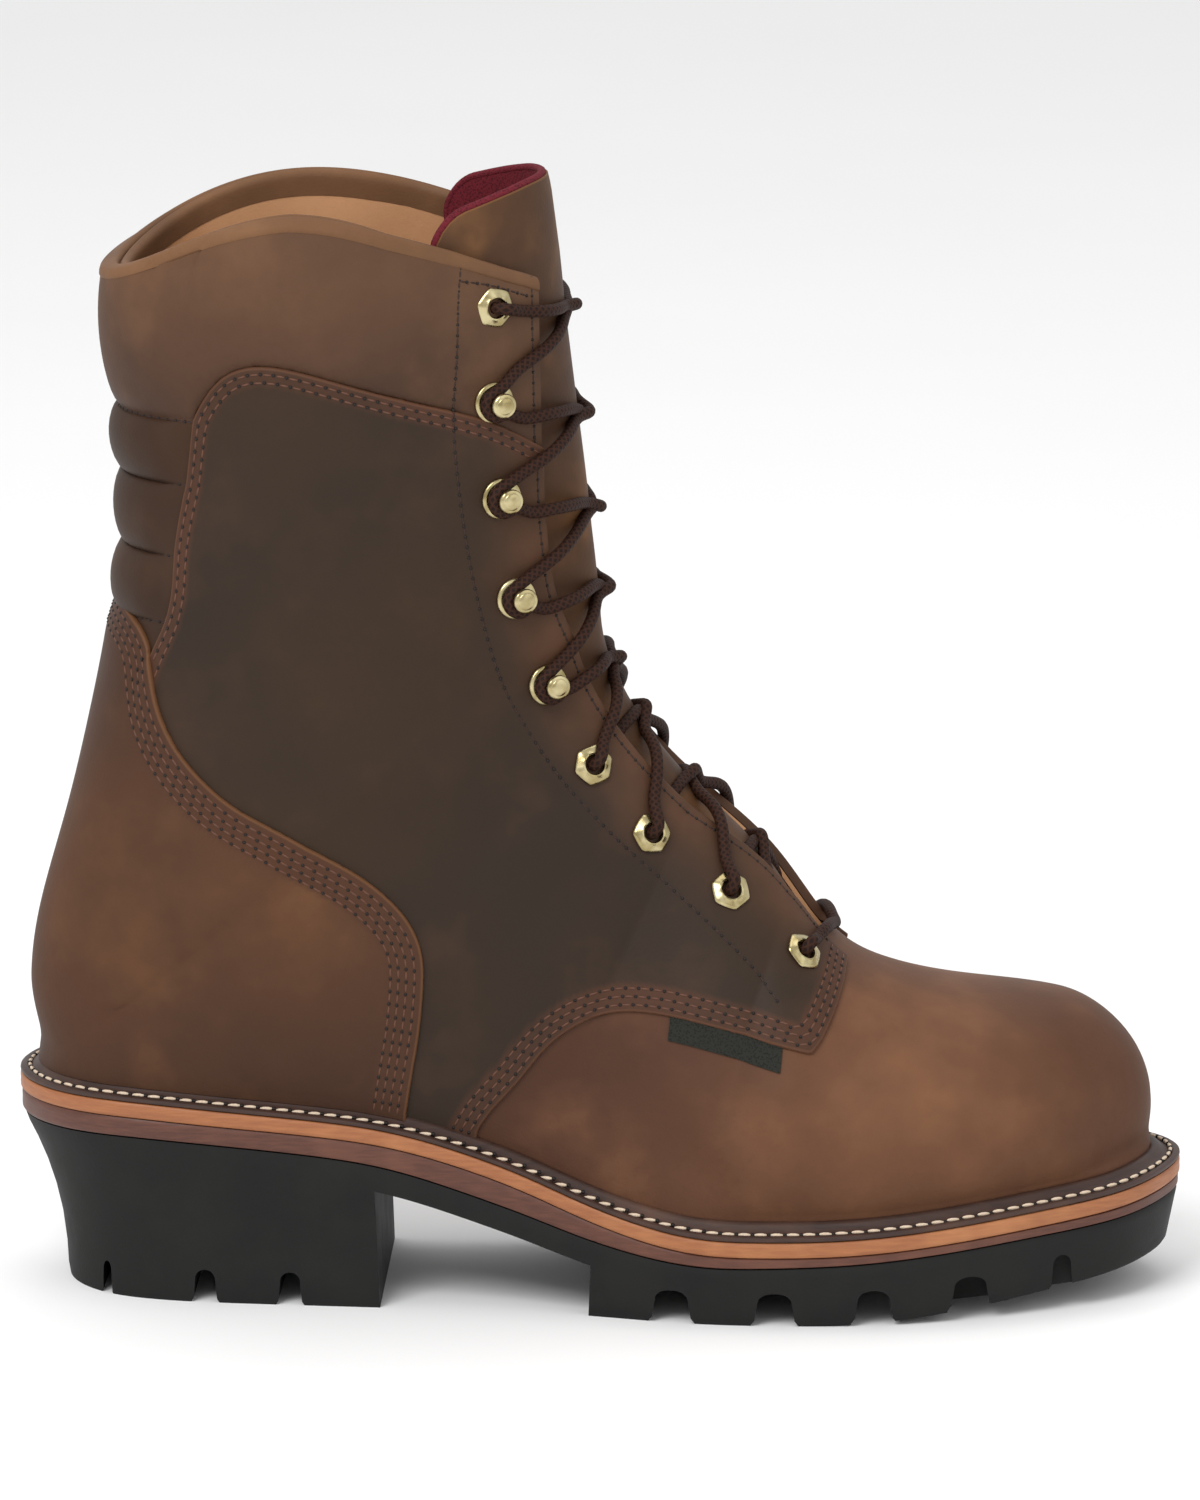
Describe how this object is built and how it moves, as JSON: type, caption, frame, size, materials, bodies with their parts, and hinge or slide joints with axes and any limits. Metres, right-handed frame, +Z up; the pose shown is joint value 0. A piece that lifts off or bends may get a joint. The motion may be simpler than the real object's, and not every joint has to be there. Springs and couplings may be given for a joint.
{
  "type": "logger boot",
  "caption": "Tall lace-up leather work boot with padded collar, stitched welt, raised heel and lugged rubber sole; right foot.",
  "frame": {"origin": "centre of the boot's length and width at floor level, measured on its bounding box", "axes": "+X towards the toe, +Y towards the inner (medial) side of this right boot, +Z up"},
  "size_m": [0.314, 0.1081, 0.3026],
  "materials": {
    "oiled_leather": "waxy matte pull-up",
    "tongue_leather": "matte",
    "footbed": "felted",
    "welt_leather": "satin",
    "midsole_leather": "satin edge",
    "slip_leather": "satin edge",
    "rubber": "matte",
    "brass": "antique",
    "lace": "waxed weave",
    "label": "woven"
  },
  "bodies": {
    "root": {"upper": "oiled_leather", "tongue": "tongue_leather", "insole": "footbed", "welt": "welt_leather", "midsole": "midsole_leather", "slip_sole": "slip_leather", "outsole": "rubber", "seam_label": "label", "lace_bar": "lace", "eyelet_1_outer": "brass", "eyelet_1_inner": "brass", "eyelet_2_outer": "brass", "eyelet_2_inner": "brass", "eyelet_3_outer": "brass", "eyelet_3_inner": "brass", "eyelet_4_outer": "brass", "eyelet_4_inner": "brass", "eyelet_9_outer": "brass", "eyelet_9_inner": "brass", "hook_5_outer": "brass", "hook_5_inner": "brass", "hook_6_outer": "brass", "hook_6_inner": "brass", "hook_7_outer": "brass", "hook_7_inner": "brass", "hook_8_outer": "brass", "hook_8_inner": "brass", "lace_crossing_1": "lace", "lace_crossing_2": "lace", "lace_crossing_3": "lace", "lace_crossing_4": "lace", "lace_crossing_5": "lace", "lace_crossing_6": "lace", "lace_crossing_7": "lace", "lace_crossing_8": "lace"}
  },
  "joints": []
}
